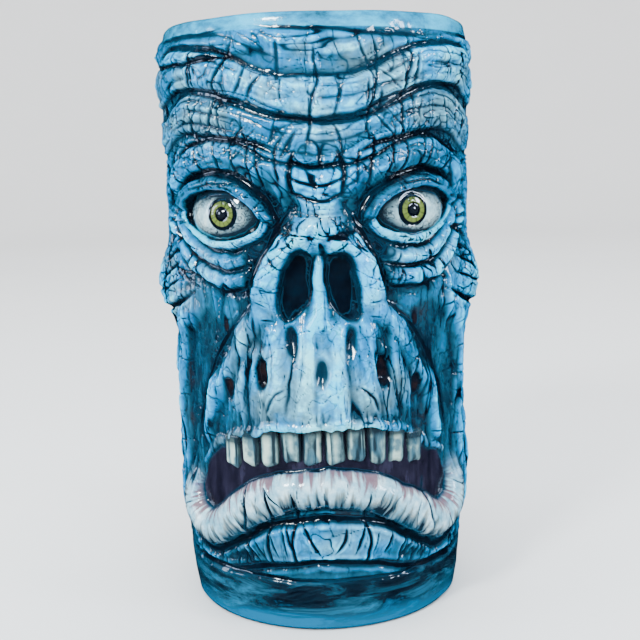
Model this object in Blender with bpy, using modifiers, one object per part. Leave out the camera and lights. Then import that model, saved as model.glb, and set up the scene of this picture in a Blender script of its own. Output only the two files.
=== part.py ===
"""Ceramic tiki mug with a carved, wrinkled face.

It is a turned wall with relief on it, two domed eyeballs set in sockets under their lids, and ten
upper teeth set in pockets in the gum. The mug stands on z = 0 with its axis on Z, and the face
looks along -Y.

Every size below is in millimetres, and MM turns it into metres. A place on the wall is (arc,
height): arc is the distance round the wall from the middle of the face, measured at
REFERENCE_RADIUS, and height is measured up from the table. The face is symmetric, so the tables of
its features give the +arc side only. A ridge follows a smooth path and a mound is an oval: each
stands out by its rise, or is sunk where the rise is negative.
"""

import math

import bmesh
import bpy
import numpy as np

MM = 0.001
GAP = 0.3  # between two pieces that touch

# Wall, as (height, radius) pairs
HEIGHT = 165.0
REFERENCE_RADIUS = 43.0
RIM_ROUND = 2.2
RIM_POINTS = 7
FLOOR_THICKNESS = 8.0
FOOT_CENTRE_RADIUS = 20.0
FLOOR_CENTRE_RADIUS = 15.0
OUTER_PROFILE = [(0.0, 38.2), (1.2, 39.2), (7.0, 40.2), (14.0, 40.8), (39.0, 41.5), (64.0, 41.7),
                 (88.0, 42.3), (111.0, 42.6), (131.0, 43.0), (151.0, 43.6), (159.0, 43.4), (162.8, 42.6)]
INNER_PROFILE = [(8.0, 29.0), (9.5, 32.5), (13.0, 34.6), (39.0, 35.8), (88.0, 36.7), (131.0, 37.2),
                 (155.0, 37.8), (162.8, 38.2)]
COLUMNS = 320
OUTER_ROWS = 164
INNER_ROWS = 24
DETAIL_KEPT = 0.066  # of the faces, once the relief is carved

# The relief fades in above the foot band and out below the rim band
FOOT_BAND = (5.0, 17.0)
RIM_BAND = (157.5, 163.0)

# Brow
FOLDS = [
    dict(path=[(0, 143.5), (12, 145.0), (28, 151.0), (44, 152.0), (62, 147.5), (84, 150.0), (110, 146.5),
               (136, 149.0)], half_width=5.4, rise=2.6),
    dict(path=[(0, 132.5), (10, 134.0), (24, 139.5), (40, 140.5), (58, 134.5), (80, 137.5), (104, 133.0),
               (124, 136.5)], half_width=5.2, rise=1.7),
]
FOLD_CREASE = dict(offset=0.6, half_width=2.2, depth_to_rise=0.7)
FOLDS_SOFTEN = dict(start=52.0, end=100.0, loss=0.6)
FROWN = dict(path=[(3.2, 130.0), (4.4, 126.0), (3.6, 119.0)], half_width=1.8, rise=-1.3)
BROW_RIDGE = dict(path=[(4, 119.5), (11, 125.5), (26, 128.5), (39, 125.5), (47, 118.5)],
                  half_width=8.6, rise=3.3)

# Nose
NOSE_BRIDGE = dict(path=[(0, 127.0), (0, 114.0)], half_width=7.0, rise=3.7)
NOSE_TIP = dict(centre=(0, 111.0), half_size=(8.8, 8.2), rise=5.8)
NOSE_WING = dict(path=[(3.4, 108.6), (8.6, 105.6), (12.4, 99.5), (14.4, 92.0), (14.2, 88.0)],
                 half_width=4.6, rise=5.0)
NOSE_SEPTUM = dict(path=[(0, 105.0), (0, 84.0)], half_width=3.2, rise=3.4)
NOSE_CAVITY = dict(centre=(6.5, 96.8), half_size=(5.6, 10.4), rise=-6.6)
SEPTUM_KEPT = 3.0  # half the width where the cavities don't cut

# Cheeks, muzzle and chin
CHEEKBONE = dict(centre=(56, 93.0), half_size=(24, 15), rise=3.6)
CHEEK_HOLLOW = dict(centre=(33, 77.0), half_size=(13, 13), rise=-3.6)
JAW_HOLLOW = dict(centre=(41, 66.0), half_size=(7, 18), rise=-2.4)
WAIST = dict(height=64.0, half_height=34.0, rise=-2.0, starts=46.0, ends=58.0)
CHEEK_CORDS = [
    dict(path=[(14, 90.5), (21.5, 84), (30.0, 71), (35, 59.5), (37, 50)], half_width=4.2, rise=2.6),
    dict(path=[(38, 91.0), (46, 83), (48.5, 70), (49.5, 54), (51, 38), (50, 24)], half_width=4.6, rise=2.6),
]
MUZZLE = dict(centre=(0, 68.0), half_size=(32, 27), rise=5.0)
CHIN = dict(centre=(0, 26.0), half_size=(42, 10.5), rise=3.0)
CHIN_CREASE = dict(path=[(0, 33.5), (14, 31.5), (26, 25.0), (38, 20.0), (48, 24.0)],
                   half_width=3.0, rise=-2.6)

# Upright cords of sinew round the sides and the back
SIDE_CORDS = [58.0, 68.0, 79.0, 92.0, 106.0, 121.0]
CORD_HALF_WIDTH, CORD_RISE = 4.6, 1.3
CORD_SWAY, CORD_WAVE, CORD_PHASE = 2.2, 21.0, 1.7
CORDS_LOW, CORDS_HIGH, CORDS_FADE = 20.0, 132.0, 14.0

# Mouth. Each edge of the opening starts at a height in the middle and drops towards the corners
MOUTH_HALF_WIDTH = 41.0
MOUTH_CORNER = 43.0
MOUTH_FLOOR = -4.4
MOUTH_EDGE_ROUND = 1.8
UPPER_EDGE = dict(middle=57.5, drop=14.0, power=2.6)
LOWER_EDGE = dict(middle=46.0, drop=16.5, power=1.6)
LOWER_LIP = [(0, 41.5), (12, 40.0), (24, 34.0), (35, 27.5), (43.5, 30.5), (46.5, 39.0), (43.0, 48.0)]
LIP_HALF_WIDTH, LIP_RADIUS, LIP_SUNK = 5.4, 5.2, 1.0

# Eyes
EYE_ARC, EYE_HEIGHT = 27.0, 114.5
EYE_HALF_SIZE = (12.8, 8.6, 10.0)
EYE_CENTRE_RADIUS = 37.6
EYE_BACK_RADIUS = 39.3
EYE_SEGMENTS, EYE_RINGS = 26, 14
EYE_OPENING_HALF_SIZE = (11.8, 6.6)
EYE_OPENING_SHARPNESS = 3.0
SOCKET_FLOOR = -4.2
UPPER_LID = dict(path=[(14.0, 113.0), (19.0, 119.0), (27, 122.8), (35, 120.8), (40.8, 115.6)],
                 half_width=3.0, rise=3.7)
LOWER_LID = dict(path=[(14.0, 112.4), (19.0, 108.2), (27, 106.8), (35, 109.0), (40.8, 114.0)],
                 half_width=2.5, rise=2.8)
EYE_BAGS = [
    dict(path=[(18.0, 104.6), (22, 102.8), (28, 102.2), (35, 104.4), (42, 109.8)], half_width=2.9, rise=2.5),
    dict(path=[(21.0, 99.0), (27, 97.0), (35, 98.4), (42.5, 102.4), (47, 108)], half_width=2.9, rise=2.0),
]

# Teeth, from the middle of the mouth outwards
TOOTH_PITCH = 6.0
TOOTH_WIDTHS = [5.5, 5.4, 5.3, 5.2, 4.9]
TOOTH_LENGTHS = [12.0, 11.2, 11.8, 10.6, 9.4]
TOOTH_BACK_RADIUS = 37.9
TOOTH_THICKNESS = 4.8
TOOTH_ROOT = 2.6
TOOTH_TIP_SCALE = (0.86, 0.78, 1.0)
TOOTH_BACK_SCALE = (0.84, 1.0, 1.0)
TOOTH_BEVEL = 0.9

# The inside swells in softly behind each deep hollow, so that the wall keeps its thickness
INNER_SWELLS = [
    dict(centre=(0, 45.0), half_size=(62, 30), rise=-3.6),
    dict(centre=(EYE_ARC, EYE_HEIGHT), half_size=(22, 19), rise=-2.6),
    dict(centre=(0, 96.0), half_size=(19, 22), rise=-4.0),
    dict(centre=(33, 77.0), half_size=(19, 19), rise=-1.6),
]
SWELLS_LOW, SWELLS_FADE = 13.0, 12.0


def bump(x):
    """1 at x = 0, falling smoothly to 0 where x reaches 1 or -1."""
    return np.clip(1 - x * x, 0, 1) ** 2


def step(x):
    """0 below x = 0 and 1 above x = 1, with a smooth rise between."""
    x = np.clip(x, 0, 1)
    return x * x * (3 - 2 * x)


def between(x, low, high):
    """0 where x is below low and 1 where it is above high."""
    return step((x - low) / (high - low))


def smooth_path(points, per_span=7):
    """Points along a Catmull-Rom curve through the given ones."""
    p = np.array([points[0], *points, points[-1]], float)
    made = []
    for a, b, c, d in zip(p[:-3], p[1:-2], p[2:-1], p[3:]):
        for t in np.linspace(0, 1, per_span, endpoint=False):
            bend = (2 * a - 5 * b + 4 * c - d) * t**2 + (3 * b - a - 3 * c + d) * t**3
            made.append(0.5 * (2 * b + (c - a) * t + bend))
    made.append(p[-1])
    return np.array(made)


def distance_to(path, arc, height):
    """How far each place on the wall is from a smooth path."""
    line = smooth_path(path)
    nearest = np.full(np.shape(arc), np.inf)
    for (a0, z0), (a1, z1) in zip(line[:-1], line[1:]):
        da, dz = a1 - a0, z1 - z0
        along = ((arc - a0) * da + (height - z0) * dz) / max(da * da + dz * dz, 1e-9)
        along = np.clip(along, 0, 1)
        nearest = np.minimum(nearest, np.hypot(arc - a0 - along * da, height - z0 - along * dz))
    return nearest


def ridge(arc, height, path, half_width, rise):
    return rise * bump(distance_to(path, arc, height) / half_width)


def mound(arc, height, centre, half_size, rise):
    x = (arc - centre[0]) / half_size[0]
    y = (height - centre[1]) / half_size[1]
    return rise * bump(np.hypot(x, y))


def fold(arc, height, path, half_width, rise):
    """A rounded roll between two creases."""
    total = ridge(arc, height, path, half_width, rise)
    for side in (-1, 1):
        away = side * (half_width + FOLD_CREASE["offset"])
        beside = [(a, z + away) for a, z in path]
        depth = -FOLD_CREASE["depth_to_rise"] * rise
        total = total + ridge(arc, height, beside, FOLD_CREASE["half_width"], depth)
    return total


def brow(arc, height):
    """The folds across the forehead, which soften towards the back, the frown and the brow ridge."""
    folds = sum(fold(arc, height, **each) for each in FOLDS)
    folds = folds * (1 - FOLDS_SOFTEN["loss"] * between(arc, FOLDS_SOFTEN["start"], FOLDS_SOFTEN["end"]))
    return folds + ridge(arc, height, **FROWN) + ridge(arc, height, **BROW_RIDGE)


def nose(arc, height):
    """A short bridge, a round tip, and two wings round open cavities with a septum between them."""
    raised = np.maximum.reduce([
        ridge(arc, height, **NOSE_BRIDGE),
        mound(arc, height, **NOSE_TIP),
        ridge(arc, height, **NOSE_WING),
        ridge(arc, height, **NOSE_SEPTUM),
    ])
    return raised + mound(arc, height, **NOSE_CAVITY) * (1 - bump(arc / SEPTUM_KEPT))


def cheeks(arc, height):
    """Cheekbones over hollows, with cords of sinew drawn down past the mouth and a slight waist."""
    hollows = mound(arc, height, **CHEEK_HOLLOW) + mound(arc, height, **JAW_HOLLOW)
    cords = sum(ridge(arc, height, **each) for each in CHEEK_CORDS)
    waist = WAIST["rise"] * bump((height - WAIST["height"]) / WAIST["half_height"])
    waist = waist * between(arc, WAIST["starts"], WAIST["ends"])
    return mound(arc, height, **CHEEKBONE) + hollows + cords + waist


def muzzle_and_chin(arc, height):
    return mound(arc, height, **MUZZLE) + mound(arc, height, **CHIN) + ridge(arc, height, **CHIN_CREASE)


def sides(arc, height):
    total = np.zeros(np.shape(arc))
    for i, at in enumerate(SIDE_CORDS):
        sway = CORD_SWAY * np.sin(height / CORD_WAVE + CORD_PHASE * i)
        total = total + CORD_RISE * bump((arc - at - sway) / CORD_HALF_WIDTH)
    fade_in = between(height, CORDS_LOW, CORDS_LOW + CORDS_FADE)
    return total * fade_in * (1 - between(height, CORDS_HIGH - CORDS_FADE, CORDS_HIGH))


def mouth_edge(arc, middle, drop, power):
    return middle - drop * (arc / MOUTH_HALF_WIDTH) ** power


def mouth(h, arc, height):
    """Sinks the open mouth into the surface h and lays the lower lip round it."""
    below_upper = mouth_edge(arc, **UPPER_EDGE) - height
    above_lower = height - mouth_edge(arc, **LOWER_EDGE)
    inside = np.minimum.reduce([below_upper, above_lower, MOUTH_CORNER - arc])
    cut = step(inside / MOUTH_EDGE_ROUND + 0.5)
    h = h * (1 - cut) + MOUTH_FLOOR * cut
    across = np.clip(distance_to(LOWER_LIP, arc, height) / LIP_HALF_WIDTH, 0, 1)
    lip = LIP_RADIUS * np.sqrt(1 - across**2) - LIP_SUNK
    return np.maximum(h, np.where(across < 1, lip, MOUTH_FLOOR))


def eyes(h, arc, height):
    """Sinks the eye sockets into the surface h, with a lid above and below and two bags under each."""
    half_across, half_up = EYE_OPENING_HALF_SIZE
    outward = np.hypot((arc - EYE_ARC) / half_across, (height - EYE_HEIGHT) / half_up)
    cut = step((1 - outward) * EYE_OPENING_SHARPNESS + 0.5)
    lids = np.maximum(ridge(arc, height, **UPPER_LID), ridge(arc, height, **LOWER_LID))
    bags = sum(ridge(arc, height, **each) for each in EYE_BAGS)
    return (h + bags + lids) * (1 - cut) + SOCKET_FLOOR * cut


def relief(arc, height):
    """How far the glazed surface stands out from the plain turned wall."""
    arc = np.abs(arc)
    h = brow(arc, height) + cheeks(arc, height) + muzzle_and_chin(arc, height) + sides(arc, height)
    h = mouth(h, arc, height)
    h = eyes(h + nose(arc, height), arc, height)
    return h * between(height, *FOOT_BAND) * (1 - between(height, *RIM_BAND))


def inner_relief(arc, height):
    """How far the inside stands out from its plain turned shape. Inwards is negative."""
    swells = sum(mound(np.abs(arc), height, **each) for each in INNER_SWELLS)
    return swells * between(height, SWELLS_LOW, SWELLS_LOW + SWELLS_FADE)


def radius_at(profile, height):
    return np.interp(height, *zip(*profile))


def profile_points():
    """The wall's section as (radius, height): over the floor, up inside, over the rim, down to the foot."""
    (_, foot_radius), (foot_top, _) = OUTER_PROFILE[:2]
    rim_start, rim_inner = INNER_PROFILE[-1]
    rim_outer = OUTER_PROFILE[-1][1]
    floor_edge = [(r, z) for z, r in INNER_PROFILE[:2]]
    inner_heights = np.linspace(INNER_PROFILE[2][0], rim_start, INNER_ROWS)
    outer_heights = np.linspace(rim_start, foot_top, OUTER_ROWS)
    inner = [(radius_at(INNER_PROFILE, z), z) for z in inner_heights]
    middle, half = (rim_inner + rim_outer) / 2, (rim_outer - rim_inner) / 2
    turns = np.linspace(0, math.pi, RIM_POINTS)[1:-1]
    rim = [(middle - half * math.cos(a), rim_start + RIM_ROUND * math.sin(a)) for a in turns]
    outer = [(radius_at(OUTER_PROFILE, z), z) for z in outer_heights]
    floor = [(0.0, FLOOR_THICKNESS), (FLOOR_CENTRE_RADIUS, FLOOR_THICKNESS), *floor_edge]
    foot = [(foot_radius, 0.0), (FOOT_CENTRE_RADIUS, 0.0), (0.0, 0.0)]
    return floor + inner + rim + outer + foot


def material(name, colour, roughness):
    made = bpy.data.materials.new(name)
    made.use_nodes = True
    shader = made.node_tree.nodes["Principled BSDF"]
    shader.inputs["Base Color"].default_value = (*colour, 1)
    shader.inputs["Roughness"].default_value = roughness
    shader.inputs["Metallic"].default_value = 0.0
    return made


def add_object(name, mesh, collection, finish=None):
    made = bpy.data.objects.new(name, mesh)
    collection.objects.link(made)
    if finish:
        mesh.materials.clear()
        mesh.materials.append(finish)
    return made


def turned_wall(collection):
    """The wall's section turned about Z with a Screw, as one closed mesh."""
    mesh = bpy.data.meshes.new("wall_section")
    points = [(r * MM, 0, z * MM) for r, z in profile_points()]
    mesh.from_pydata(points, [(i, i + 1) for i in range(len(points) - 1)], [])
    section = add_object("wall_section", mesh, collection)
    screw = section.modifiers.new("Turn", "SCREW")
    screw.steps = screw.render_steps = COLUMNS
    screw.use_merge_vertices = True
    screw.merge_threshold = 0.00001
    bpy.context.view_layer.update()
    turned = bpy.data.meshes.new_from_object(section.evaluated_get(bpy.context.evaluated_depsgraph_get()))
    bpy.data.objects.remove(section)
    return turned


def carve(mesh):
    """Moves the turned wall's points in or out along their radius."""
    points = np.empty(len(mesh.vertices) * 3, np.float32)
    mesh.vertices.foreach_get("co", points)
    points = points.reshape(-1, 3).astype(float) / MM
    radius = np.hypot(points[:, 0], points[:, 1])
    height = points[:, 2]
    arc = REFERENCE_RADIUS * np.arctan2(points[:, 0], -points[:, 1])
    middle = (radius_at(OUTER_PROFILE, height) + radius_at(INNER_PROFILE, height)) / 2
    in_wall = (height > OUTER_PROFILE[1][0] - 0.1) & (height < OUTER_PROFILE[-1][0] + 0.1)
    is_outer = in_wall & (radius > middle)
    is_inner = in_wall & (radius < middle) & (height > SWELLS_LOW)
    moved = radius + np.where(is_outer, relief(arc, height), 0)
    moved = moved + np.where(is_inner, inner_relief(arc, height), 0)
    points[:, :2] *= (moved / np.maximum(radius, 1e-6))[:, None]
    mesh.vertices.foreach_set("co", (points * MM).astype(np.float32).ravel())
    mesh.update()


def place(piece, arc, height, radius):
    """Puts a piece on the wall at this arc, with its own -Y pointing straight out."""
    turn = arc / REFERENCE_RADIUS
    piece.location = (radius * math.sin(turn) * MM, -radius * math.cos(turn) * MM, height * MM)
    piece.rotation_euler = (0, 0, turn)


def mug_body(collection, finish):
    mesh = turned_wall(collection)
    carve(mesh)
    mesh.name = "mug_body"
    body = add_object("mug_body", mesh, collection, finish)
    thin = body.modifiers.new("Fewer faces", "DECIMATE")
    thin.ratio = DETAIL_KEPT
    return body


def eyeball(name, arc, collection, grown=0.0, finish=None):
    """A domed cap of an ellipsoid with a flat back. Grown makes the cutter for its socket."""
    shape = bmesh.new()
    bmesh.ops.create_uvsphere(shape, u_segments=EYE_SEGMENTS, v_segments=EYE_RINGS, radius=1)
    half = [(size + grown) * MM for size in EYE_HALF_SIZE]
    bmesh.ops.scale(shape, vec=half, verts=shape.verts)
    back = (EYE_CENTRE_RADIUS - EYE_BACK_RADIUS + grown) * MM
    geometry = shape.verts[:] + shape.edges[:] + shape.faces[:]
    cut = bmesh.ops.bisect_plane(shape, geom=geometry, plane_co=(0, back, 0), plane_no=(0, 1, 0),
                                 clear_outer=True)
    rim = [edge for edge in cut["geom_cut"] if isinstance(edge, bmesh.types.BMEdge)]
    bmesh.ops.edgeloop_fill(shape, edges=rim)
    bmesh.ops.recalc_face_normals(shape, faces=shape.faces)
    mesh = bpy.data.meshes.new(name)
    shape.to_mesh(mesh)
    shape.free()
    mesh.shade_smooth()
    mesh.set_sharp_from_angle(angle=math.radians(40))
    piece = add_object(name, mesh, collection, finish)
    place(piece, arc, EYE_HEIGHT, EYE_CENTRE_RADIUS)
    return piece


def tooth(name, side, order, collection, grown=0.0, finish=None):
    """A tapered block that hangs from the gum. Grown makes the cutter for its pocket."""
    width, length = TOOTH_WIDTHS[order] + 2 * grown, TOOTH_LENGTHS[order] + 2 * grown
    thickness = TOOTH_THICKNESS + 2 * grown
    shape = bmesh.new()
    bmesh.ops.create_cube(shape, size=1)
    bmesh.ops.scale(shape, vec=(width * MM, thickness * MM, length * MM), verts=shape.verts)
    bmesh.ops.scale(shape, vec=TOOTH_BACK_SCALE, verts=[v for v in shape.verts if v.co.y > 0])
    if not grown:
        bmesh.ops.scale(shape, vec=TOOTH_TIP_SCALE, verts=[v for v in shape.verts if v.co.z < 0])
    mesh = bpy.data.meshes.new(name)
    shape.to_mesh(mesh)
    shape.free()
    piece = add_object(name, mesh, collection, finish)
    arc = TOOTH_PITCH * (order + 0.5)
    middle = mouth_edge(arc, **UPPER_EDGE) + TOOTH_ROOT + grown - length / 2
    place(piece, side * arc, middle, TOOTH_BACK_RADIUS + TOOTH_THICKNESS / 2)
    return piece


def round_edges(piece):
    bevel = piece.modifiers.new("Rounded edges", "BEVEL")
    bevel.width = TOOTH_BEVEL * MM
    bevel.segments = 2


def cut_with(body, cutter):
    """Cuts the seat of another piece out of the body."""
    cutter.hide_render = True
    cutter.display_type = "WIRE"
    boolean = body.modifiers.new("Cut " + cutter.name, "BOOLEAN")
    boolean.operation = "DIFFERENCE"
    boolean.object = cutter


def main():
    for old in list(bpy.data.objects):
        bpy.data.objects.remove(old)
    parts = bpy.data.collections.new("tiki_mug")
    cutters = bpy.data.collections.new("tiki_mug_cutters")
    for collection in (parts, cutters):
        bpy.context.scene.collection.children.link(collection)
    turquoise_glaze = material("turquoise_glaze", (0.10, 0.38, 0.50), 0.18)
    eye_glaze = material("eye_glaze", (0.72, 0.76, 0.74), 0.12)
    tooth_glaze = material("tooth_glaze", (0.62, 0.68, 0.62), 0.25)

    body = mug_body(parts, turquoise_glaze)
    for side, word in ((-1, "right"), (1, "left")):
        eyeball(word + "_eyeball", side * EYE_ARC, parts, finish=eye_glaze)
        cut_with(body, eyeball(word + "_eye_socket", side * EYE_ARC, cutters, grown=GAP))
        for order in range(len(TOOTH_WIDTHS)):
            name = f"upper_{word}_tooth_{order + 1}"
            round_edges(tooth(name, side, order, parts, finish=tooth_glaze))
            cut_with(body, tooth(name + "_pocket", side, order, cutters, grown=GAP))


main()
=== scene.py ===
"""Looks of the tiki mug: glazed wall with carved wrinkles, eyeballs and teeth.

The wall is a height map over the turned shape. A place on it is (arc, up) in millimetres: arc is the
distance round the wall from the middle of the face at REFERENCE_RADIUS, and up is the height above
the table. The face is symmetric, so most features are given on the +arc side and carved on both.
"""

import math

import bmesh
import bpy
import numpy as np
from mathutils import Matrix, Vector


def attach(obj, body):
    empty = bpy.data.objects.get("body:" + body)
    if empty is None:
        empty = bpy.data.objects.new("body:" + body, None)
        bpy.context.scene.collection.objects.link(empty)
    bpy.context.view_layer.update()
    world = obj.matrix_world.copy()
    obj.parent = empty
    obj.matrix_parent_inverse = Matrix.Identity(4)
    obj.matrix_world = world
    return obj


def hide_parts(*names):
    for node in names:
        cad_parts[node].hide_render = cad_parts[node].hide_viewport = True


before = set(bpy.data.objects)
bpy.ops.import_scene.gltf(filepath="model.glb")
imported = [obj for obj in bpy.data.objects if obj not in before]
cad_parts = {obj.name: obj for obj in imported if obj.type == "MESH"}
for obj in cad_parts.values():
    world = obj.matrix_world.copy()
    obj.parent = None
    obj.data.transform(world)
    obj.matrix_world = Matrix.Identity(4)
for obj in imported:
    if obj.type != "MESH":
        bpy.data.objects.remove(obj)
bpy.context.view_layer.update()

MM = 0.001

# Which sides of the face a feature is carved on: both of them, or only where it is given
BOTH = (-1, 1)
ALONE = (1,)

# Wall, repeated from the CAD model: (height, radius) pairs
HEIGHT = 165.0
REFERENCE_RADIUS = 43.0
AROUND = 2 * math.pi * REFERENCE_RADIUS
OUTER_PROFILE = [(0.0, 38.2), (1.2, 39.2), (7.0, 40.2), (14.0, 40.8), (39.0, 41.5), (64.0, 41.7),
                 (88.0, 42.3), (111.0, 42.6), (131.0, 43.0), (151.0, 43.6), (159.0, 43.4), (162.8, 42.6)]
INNER_PROFILE = [(8.0, 29.0), (9.5, 32.5), (13.0, 34.6), (39.0, 35.8), (88.0, 36.7), (131.0, 37.2),
                 (155.0, 37.8), (162.8, 38.2)]
RIM_ROUND = 2.2

# Where the inside swells in behind deep hollows: (centre, half size, depth)
INNER_SWELLS = [((0, 45), (62, 30), 3.6), ((27, 114.5), (22, 19), 2.6), ((0, 96), (19, 22), 4.0),
                ((33, 77), (19, 19), 1.6)]

# The floor inside, from the middle out, and the foot underneath, from the edge in: (radius, height)
INNER_FLOOR = [(6, 8.0), (12, 8.0), (18, 8.0), (24, 8.05), (29, 8.3), (31.4, 8.9), (33.4, 10.2), (34.2, 11.6)]
FOOT = [(38.5, 0.35), (37.6, 0.0), (35.2, 0.0), (34.2, 0.35), (33.4, 0.9), (26, 1.0), (16, 1.05), (7, 1.05)]

# The grid of heights outside, and the rows of points inside and over the rim
CELL = 0.27
WALL_LOW, WALL_HIGH = OUTER_PROFILE[1][0], OUTER_PROFILE[-1][0]
COLUMNS = round(AROUND / CELL)
ROWS = round((WALL_HIGH - WALL_LOW) / CELL)
FINE_HALF_WIDTH = 78.0
INNER_ROWS = 64
RIM_ROWS = 9

# Rows inside and outside the rim that have its glaze, and the first and last + 1 of the foot's bare rings
RIM_GLAZE_INSIDE, RIM_GLAZE_OUTSIDE = 4, 8
BARE_FOOT = (1, 4)


# ---------------------------------------------------------------- shapes of numbers


def bump(x):
    """1 at x = 0, falling smoothly to 0 where x reaches 1 or -1."""
    return np.clip(1 - x * x, 0, 1) ** 2


def step(x):
    x = np.clip(x, 0, 1)
    return x * x * (3 - 2 * x)


def between(x, low, high):
    """0 below low and 1 above high, with a smooth rise between them."""
    return step((x - low) / (high - low))


def band(x, low, start, end, high):
    """1 from start to end, fading to 0 at low and at high."""
    return between(x, low, start) * (1 - between(x, end, high))


def roll(away, half):
    """The section of a round roll."""
    return np.sqrt(np.clip(1 - (away / half) ** 2, 0, 1))


def spot(x, y, centre, half):
    """1 in the middle of an oval, fading to 0 at its edge."""
    return bump(np.hypot((x - centre[0]) / half[0], (y - centre[1]) / half[1]))


def smooth_path(points, per_span=8):
    """Points along a Catmull-Rom curve through the given ones."""
    p = np.array([points[0], *points, points[-1]], float)
    made = []
    for a, b, c, d in zip(p[:-3], p[1:-2], p[2:-1], p[3:]):
        for t in np.linspace(0, 1, per_span, endpoint=False):
            bend = (2 * a - 5 * b + 4 * c - d) * t**2 + (3 * b - a - 3 * c + d) * t**3
            made.append(0.5 * (2 * b + (c - a) * t + bend))
    made.append(p[-1])
    return np.array(made)


def noise(x, y, size, seed, octaves=2):
    """Smooth noise from -1 to 1 with cells of this size, (across, up). It joins up round the mug."""
    total, weight, rows = 0, 0, 64
    for octave in range(octaves):
        share = 0.5**octave
        cells = max(2, round(AROUND / (size[0] * share)))
        table = np.random.default_rng(seed * 31 + octave).uniform(-1, 1, (rows, cells))
        fx = (x / AROUND + 0.5) * cells
        fy = y / (size[1] * share)
        x0, y0 = np.floor(fx).astype(int), np.floor(fy).astype(int)
        tx, ty = step(fx - x0), step(fy - y0)
        x0, x1 = x0 % cells, (x0 + 1) % cells
        y0, y1 = y0 % rows, (y0 + 1) % rows
        low = table[y0, x0] * (1 - tx) + table[y0, x1] * tx
        high = table[y1, x0] * (1 - tx) + table[y1, x1] * tx
        total = total + (low * (1 - ty) + high * ty) * share
        weight += share
    return total / weight * 1.6


def lines(x, y, size, seed, width, octaves=2):
    """Winding lines where a smooth noise crosses zero: 1 in the middle of a line and 0 beside it."""
    return np.clip(1 - np.abs(noise(x, y, size, seed, octaves)) / width, 0, 1)


def blurred(field, reach):
    """The field smoothed over this reach in millimetres. It wraps round the mug."""
    pad = int(3 * reach / CELL)
    tall = np.pad(field, ((pad, pad), (0, 0)), mode="edge")
    up = np.fft.fftfreq(tall.shape[0])[:, None] / CELL
    across = np.fft.rfftfreq(tall.shape[1])[None, :] / CELL
    keep = np.exp(-2 * (math.pi * reach) ** 2 * (up**2 + across**2))
    return np.fft.irfft2(np.fft.rfft2(tall) * keep, s=tall.shape)[pad:-pad or None]


def cells_pattern(x, y, size, seed):
    """For a cracked glaze: how far each place is from the nearest edge between two cells."""
    across, tall = round(AROUND / size), 96
    jitter = np.random.default_rng(seed).uniform(0.12, 0.88, (tall, across, 2))
    fx, fy = (x / AROUND + 0.5) * across, y / size
    x0, y0 = np.floor(fx).astype(int), np.floor(fy).astype(int)
    first, second = np.full(x.shape, 9.0), np.full(x.shape, 9.0)
    for dy in (-1, 0, 1):
        for dx in (-1, 0, 1):
            point = jitter[(y0 + dy) % tall, (x0 + dx) % across]
            away = np.hypot(x0 + dx + point[..., 0] - fx, y0 + dy + point[..., 1] - fy)
            second = np.minimum(second, np.maximum(first, away))
            first = np.minimum(first, away)
    return (second - first) * size


def fading(along, ends):
    """1 along a path, fading over this share of it at each end."""
    if not ends:
        return 1.0
    return np.clip(step(along / ends) * step((1 - along) / ends), 0, 1) ** 0.5


def mirrored(path, side):
    return [(side * a, z) for a, z in path]


# ---------------------------------------------------------------- the clay


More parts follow.
